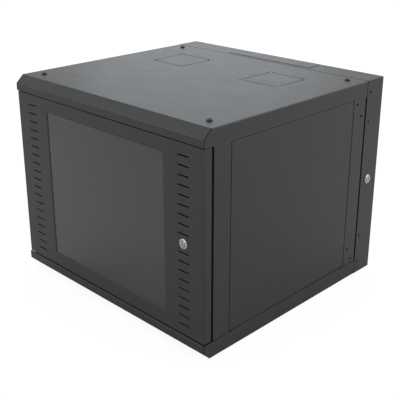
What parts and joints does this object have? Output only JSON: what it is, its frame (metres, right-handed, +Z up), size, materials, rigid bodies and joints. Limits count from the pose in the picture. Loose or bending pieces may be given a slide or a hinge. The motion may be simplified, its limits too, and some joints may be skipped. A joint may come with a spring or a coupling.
{
  "type": "wall mount network cabinet",
  "caption": "Wall-mount network cabinet whose rack body, behind a lockable smoked-glass door, swings out sideways from a shallow wall frame.",
  "frame": {"origin": "centre of the wall bolt pattern, on the plane of the wall", "axes": "+X to the right as seen from the front, +Y towards the wall, +Z up"},
  "size_m": [0.6137, 0.5822, 0.484],
  "materials": {
    "black_powder_coat": "fine-textured matt powder coat",
    "zinc_sheet": "zinc-plated sheet",
    "zinc_hardware": "zinc-plated, satin",
    "black_hardware": "black zinc, satin",
    "lock_chrome": "polished, lightly handled",
    "smoked_glass": "smoked, gloss",
    "black_rubber": "matt",
    "nylon": "matt"
  },
  "bodies": {
    "wall_section": {"wall_frame": "black_powder_coat", "wall_top": "black_powder_coat", "wall_bottom": "black_powder_coat", "cable_cover_top": "black_powder_coat", "cable_cover_bottom": "black_powder_coat", "cable_cover_nuts": "zinc_hardware", "wall_hinge_leaf_lower": "black_powder_coat", "wall_hinge_leaf_upper": "black_powder_coat", "swing_hinge_pins": "zinc_hardware", "wall_hinge_screws": "zinc_hardware", "wall_clinch_nuts": "black_hardware", "side_lock_body": "lock_chrome", "side_lock_nut": "lock_chrome"},
    "swing_section": {"top_cover": "black_powder_coat", "bottom_cover": "black_powder_coat", "cover_bolts": "black_hardware", "front_post_left": "black_powder_coat", "front_post_right": "black_powder_coat", "rear_post_left": "black_powder_coat", "rear_post_right": "black_powder_coat", "lower_side_rail_left": "black_powder_coat", "lower_side_rail_right": "black_powder_coat", "upper_side_rail_left": "black_powder_coat", "upper_side_rail_right": "black_powder_coat", "side_panel_left": "black_powder_coat", "side_panel_right": "black_powder_coat", "side_panel_screws": "zinc_hardware", "rack_rail_front_left": "black_powder_coat", "rack_rail_front_right": "black_powder_coat", "rack_rail_rear_left": "black_powder_coat", "rack_rail_rear_right": "black_powder_coat", "rack_rail_bolts": "zinc_hardware", "frame_nuts": "zinc_hardware", "swing_hinge_leaf_lower": "black_powder_coat", "swing_hinge_leaf_upper": "black_powder_coat", "swing_hinge_screws": "zinc_hardware", "swing_clinch_nuts": "black_hardware", "side_lock_striker": "zinc_sheet", "door_thrust_washer": "nylon", "door_buffers": "black_rubber"},
    "front_door": {"door_shell": "black_powder_coat", "glass_seal": "black_rubber", "door_glass": "smoked_glass", "glass_clips": "zinc_hardware", "door_pin_lower": "zinc_hardware", "door_pin_bracket": "zinc_sheet", "front_lock_body": "lock_chrome", "front_lock_nut": "lock_chrome"},
    "door_pin": {"door_pin_upper": "zinc_hardware", "door_pin_spring": "zinc_hardware"},
    "front_lock_cylinder": {"front_lock_plug": "lock_chrome", "front_lock_cam": "zinc_hardware", "front_cam_screw": "zinc_hardware"},
    "side_lock_cylinder": {"side_lock_plug": "lock_chrome", "side_lock_cam": "zinc_hardware", "side_cam_screw": "zinc_hardware"}
  },
  "joints": [
    {"name": "swing_hinge", "type": "hinge", "parent": "wall_section", "child": "swing_section", "pos_m": [-0.3052, -0.0636, 0], "axis": [0, 0, -1], "range_deg": [0, 90]},
    {"name": "door_hinge", "type": "hinge", "parent": "swing_section", "child": "front_door", "pos_m": [-0.29, -0.5705, 0], "axis": [0, 0, -1], "range_deg": [0, 180]},
    {"name": "door_pin_slide", "type": "slide", "parent": "front_door", "child": "door_pin", "axis": [0, 0, -1], "range_m": [0, 0.008], "stiffness_N_per_m": 400, "springref_m": -0.005, "deforming": ["door_pin_spring"]},
    {"name": "front_lock_turn", "type": "hinge", "parent": "front_door", "child": "front_lock_cylinder", "pos_m": [0.244, -0.5785, 0], "axis": [0, 1, 0], "range_deg": [0, 90]},
    {"name": "side_lock_turn", "type": "hinge", "parent": "wall_section", "child": "side_lock_cylinder", "pos_m": [0.3, -0.0366, 0], "axis": [-1, 0, 0], "range_deg": [0, 90]}
  ]
}
